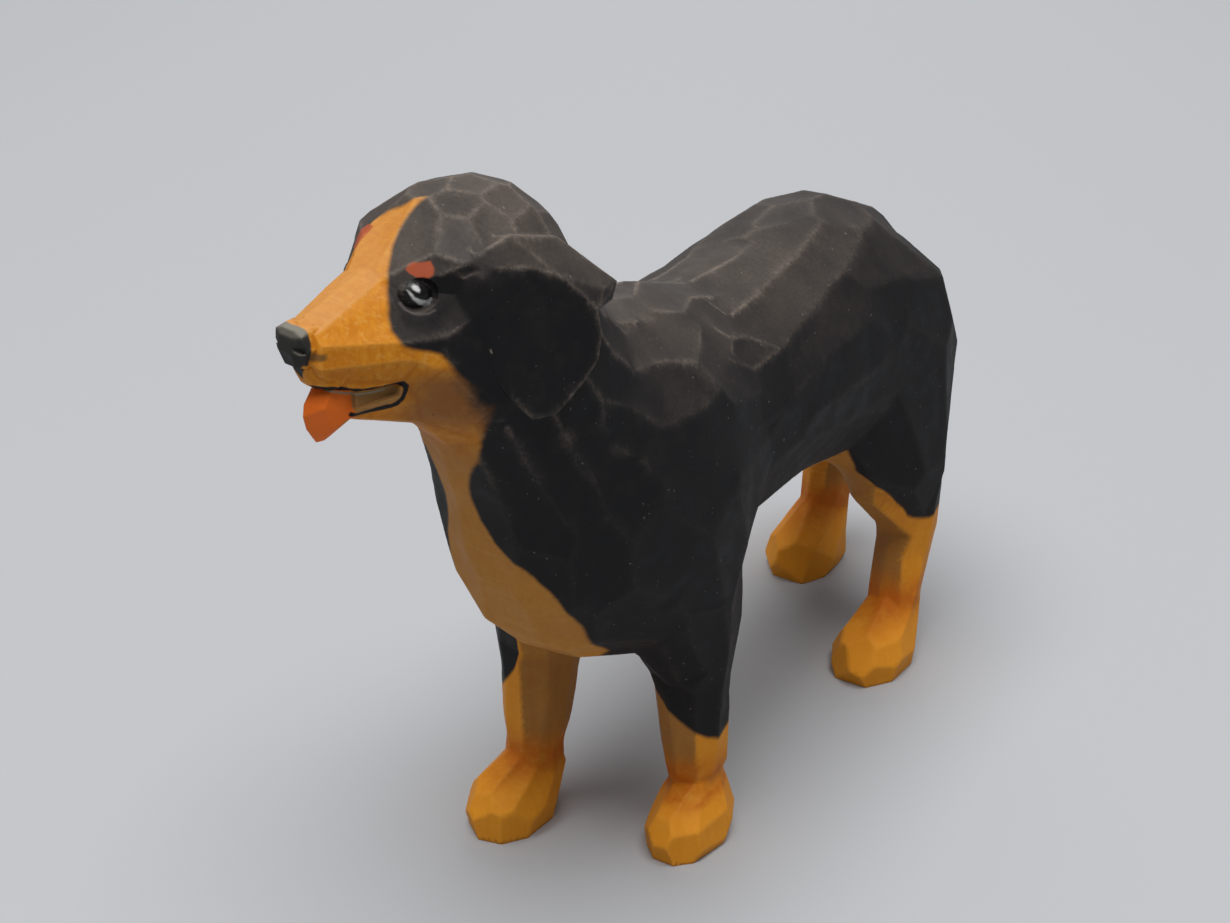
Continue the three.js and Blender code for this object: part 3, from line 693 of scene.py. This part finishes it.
paint = {
    "black": (0.0065, 0.0064, 0.0074),
    "blackThin": (0.018, 0.015, 0.0135),
    # dust and a painted sheen on the black tops
    "blackDustAndSheen": (0.085, 0.068, 0.056),
    "blackRubbed": (0.17, 0.135, 0.11),
    "speck": (0.2, 0.18, 0.165),
    "tan": (0.6, 0.222, 0.01),
    "tanDeep": (0.46, 0.135, 0.003),
    "tanPale": (0.66, 0.32, 0.06),
    # tan paler with dust and a painted sheen on the head's upward faces
    "tanDustAndSheen": (0.62, 0.33, 0.12),
    # duller tan of the bib, and of the legs' inner and front faces, where it is partly painted shade
    "tanDullAndShade": (0.36, 0.18, 0.045),
    "tanShade": (0.19, 0.076, 0.026),
    # brighter tan of the paws and the legs' outer strips, partly painted light
    "tanPawAndLit": (0.85, 0.33, 0.02),
    # painted shade at the ankles
    "tanAnkleShade": (0.5, 0.115, 0.006),
    "rust": (0.33, 0.07, 0.028),
    "nose": (0.022, 0.021, 0.018),
    # the nose's top, lighter with dust and a painted sheen
    "noseDustAndSheen": (0.17, 0.155, 0.125),
    "line": (0.009, 0.008, 0.008),
    "lipShine": (0.3, 0.26, 0.18),
    "mouth": (0.3, 0.15, 0.045),
    "tongue": (0.72, 0.14, 0.012),
    # also the colour of the eye's glint, a painted highlight
    "eyeWhite": (0.5, 0.5, 0.48),
    "eyelid": (0.09, 0.075, 0.07),
    "bareWood": (0.2, 0.17, 0.13),
    "stain": (0.2, 0.09, 0.02),
}
# the patterns in the paint: scale, detail, roughness, and how each is drawn out
patterns = {
    "fibre": (1500, 3, 0.6, (1, 1, 0.1)),
    "brush": (1700, 3, 0.65, (0.14, 1, 1)),
    "cloud": (130, 3, 0.55, (1, 1, 1)),
    "patch": (420, 3, 0.6, (1, 1, 1)),
    "fine": (2600, 2, 0.6, (1, 1, 1)),
    "dots": (2100, 1, 0.4, (1, 1, 1)),
}
# what changes the tan, and how strongly, and its colour there: dust and a painted sheen on top, duller
# paint and painted shade, painted shade, and paws brighter partly by painted light
tanLayers = [
    ("dustAndSheenTop", 0.4, "tanDustAndSheen"),
    ("dullAndLegShade", 0.6, "tanDullAndShade"),
    ("shade", 0.8, "tanShade"),
    ("paw", 0.6, "tanPawAndLit"),
]
# what lies over black and tan, in its order: how ragged and how soft its edge is, and its colour
overPaint = [
    ("stain", 0.9, 0.2, "stain"),
    ("rust", 0.35, 0.1, "rust"),
    ("nose", 0.45, 0.12, "nose"),
    ("mouth", 0.2, 0.15, "mouth"),
    ("tongue", 0.1, 0.1, "tongue"),
    ("lips", 0.2, 0.08, "line"),
    ("lipShine", 0.1, 0.06, "lipShine"),
    ("eyelid", 0.2, 0.12, "eyelid"),
    ("eye", 0.1, 0.08, "line"),
    ("eyeWhite", 0.12, 0.12, "eyeWhite"),
    ("chips", 0.5, 0.07, "bareWood"),
]
finish = {
    "smooth": 0.56,
    "matte": 0.72,
    "eyeGloss": 0.3,
    "relief": 0.06,
    "depth": 0.07,
    "specular": 0.18,
}


def paintedWood():
    material = bpy.data.materials.new("paintedWood")
    material.use_nodes = True
    tree = material.node_tree
    tree.nodes.clear()
    place = addNode(tree, "ShaderNodeTexCoord").outputs["Object"]
    pattern = {name: patternOf(tree, place, *settings) for name, settings in patterns.items()}
    patch = pattern["patch"]
    fine = pattern["fine"]

    def times(a, b):
        return combine(tree, "MULTIPLY", a, b)

    def shifted(source, reach):
        return times(combine(tree, "SUBTRACT", source, 0.5), reach)

    def mask(name, wobble, soft):
        return ramp(tree, combine(tree, "ADD", layerOf(tree, name), wobble), -soft, soft)

    # black: thin in places, dusty and with a painted sheen on top, rubbed through on the ridges
    black = blend(tree, ramp(tree, patch, 0.42, 0.72, 0, 0.6), paint["black"], paint["blackThin"])
    dustAndSheenShare = times(layerOf(tree, "dustAndSheen"), ramp(tree, pattern["cloud"], 0.25, 0.75, 0.5, 0.9))
    dustAndSheenShare = times(dustAndSheenShare, ramp(tree, fine, 0.25, 0.7, 0.75, 1))
    black = blend(tree, dustAndSheenShare, black, paint["blackDustAndSheen"])
    rubbing = times(layerOf(tree, "rubbed"), ramp(tree, patch, 0.3, 0.7, 0.45, 1.15))
    rubbing = times(rubbing, ramp(tree, fine, 0.3, 0.7, 0.4, 1))
    black = blend(tree, rubbing, black, paint["blackRubbed"])
    black = blend(tree, ramp(tree, pattern["dots"], 0.75, 0.82, 0, 0.5), black, paint["speck"])

    # tan: a thin wash that lets the wood show along its fibres and brush strokes
    tan = blend(tree, ramp(tree, pattern["fibre"], 0.3, 0.7, 0.35, 1), paint["tanDeep"], paint["tan"])
    tan = blend(tree, ramp(tree, pattern["brush"], 0.48, 0.7, 0, 0.5), tan, paint["tanPale"])
    tan = blend(tree, ramp(tree, pattern["cloud"], 0.45, 0.7, 0, 0.55), tan, paint["tanDeep"])
    wearAndCreaseShade = layerOf(tree, "wearAndCreaseShade")
    tan = blend(tree, ramp(tree, wearAndCreaseShade, 0.05, 0.6, 0, 0.2), tan, paint["tanPale"])
    # darker in the creases between cuts, partly stain pooled there and partly painted shade
    tan = blend(tree, ramp(tree, wearAndCreaseShade, -0.05, -0.5, 0, 0.6), tan, paint["tanDeep"])
    for name, share, shade in tanLayers:
        tan = blend(tree, times(layerOf(tree, name), share), tan, paint[shade])
    # painted shade, darker and redder, around the ankles
    ankleShade = times(layerOf(tree, "ankle"), ramp(tree, patch, 0.3, 0.6, 0.25, 0.85))
    tan = blend(tree, ankleShade, tan, paint["tanAnkleShade"])

    feather = combine(tree, "ADD", shifted(patch, 0.35), shifted(pattern["brush"], 0.15))
    colour = blend(tree, mask("tan", feather, 0.32), black, tan)
    shades = dict(paint)
    # the nose's top is painted lighter with dust and a painted sheen
    shades["nose"] = blend(tree, layerOf(tree, "dustAndSheen"), paint["nose"], paint["noseDustAndSheen"])
    for name, ragged, soft, shade in overPaint:
        colour = blend(tree, mask(name, shifted(patch, ragged), soft), colour, shades[shade])

    rough = ramp(tree, patch, 0.25, 0.75, finish["smooth"], finish["matte"])
    rough = combine(tree, "SUBTRACT", rough, times(mask("eye", 0.0, 0.1), finish["eyeGloss"]))
    relief = combine(tree, "ADD", pattern["fibre"], times(pattern["brush"], 0.6))
    bumpSettings = {"Strength": finish["relief"], "Distance": finish["depth"] * mm, "Height": relief}
    bump = addNode(tree, "ShaderNodeBump", bumpSettings).outputs[0]
    shaderSettings = {"Base Color": colour, "Roughness": rough, "Normal": bump}
    shader = addNode(tree, "ShaderNodeBsdfPrincipled", shaderSettings)
    shader.inputs["Specular IOR Level"].default_value = finish["specular"]
    output = addNode(tree, "ShaderNodeOutputMaterial")
    tree.links.new(shader.outputs[0], output.inputs[0])
    return material


dogMesh.materials.clear()
dogMesh.materials.append(paintedWood())
dogMesh.polygons.foreach_set("use_smooth", [True] * len(dogMesh.polygons))
dogMesh.polygons.foreach_set("material_index", [0] * len(dogMesh.polygons))
dog = bpy.data.objects.new("paintedDog", dogMesh)
bpy.context.scene.collection.objects.link(dog)
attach(dog, "root")
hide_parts("carved_dog")
print("dog painted")

# a pale floor, a wide soft light overhead, and a weaker one behind that gives the top its sheen
studio = {
    "floorColour": (0.4, 0.405, 0.415, 1),
    "floorReach": 3000,
    "floorDrop": 0.02,
    "worldColour": (0.85, 0.91, 1.0, 1),
    "worldStrength": 0.22,
    "mainLight": {"place": (50, -150, 930), "aim": (0, 0, 40), "size": 820, "power": 12.2},
    "backLight": {"place": (-190, 330, 250), "aim": (0, 0, 60), "size": 380, "power": 0.35},
}


def makeFloor():
    bm = bmesh.new()
    bmesh.ops.create_grid(bm, x_segments=1, y_segments=1, size=studio["floorReach"] * mm)
    bmesh.ops.translate(bm, verts=bm.verts, vec=(0, 0, -studio["floorDrop"] * mm))
    mesh = bpy.data.meshes.new("floor")
    bm.to_mesh(mesh)
    bm.free()
    material = bpy.data.materials.new("floorPaper")
    material.use_nodes = True
    shader = material.node_tree.nodes["Principled BSDF"]
    shader.inputs["Base Color"].default_value = studio["floorColour"]
    shader.inputs["Roughness"].default_value = 0.95
    shader.inputs["Specular IOR Level"].default_value = 0
    mesh.materials.append(material)
    floor = bpy.data.objects.new("floor", mesh)
    bpy.context.scene.collection.objects.link(floor)


def makeLight(name):
    settings = studio[name]
    place = Vector(settings["place"])
    data = bpy.data.lights.new(name, "AREA")
    data.shape = "DISK"
    data.size = settings["size"] * mm
    data.energy = settings["power"]
    lamp = bpy.data.objects.new(name, data)
    lamp.location = place * mm
    lamp.rotation_euler = (Vector(settings["aim"]) - place).to_track_quat("-Z", "Y").to_euler()
    bpy.context.scene.collection.objects.link(lamp)


makeFloor()
makeLight("mainLight")
makeLight("backLight")
world = bpy.data.worlds.new("studioSky")
world.use_nodes = True
sky = world.node_tree.nodes["Background"]
sky.inputs["Color"].default_value = studio["worldColour"]
sky.inputs["Strength"].default_value = studio["worldStrength"]
bpy.context.scene.world = world
bpy.context.scene.view_settings.view_transform = "Standard"
print("floor and light ready")
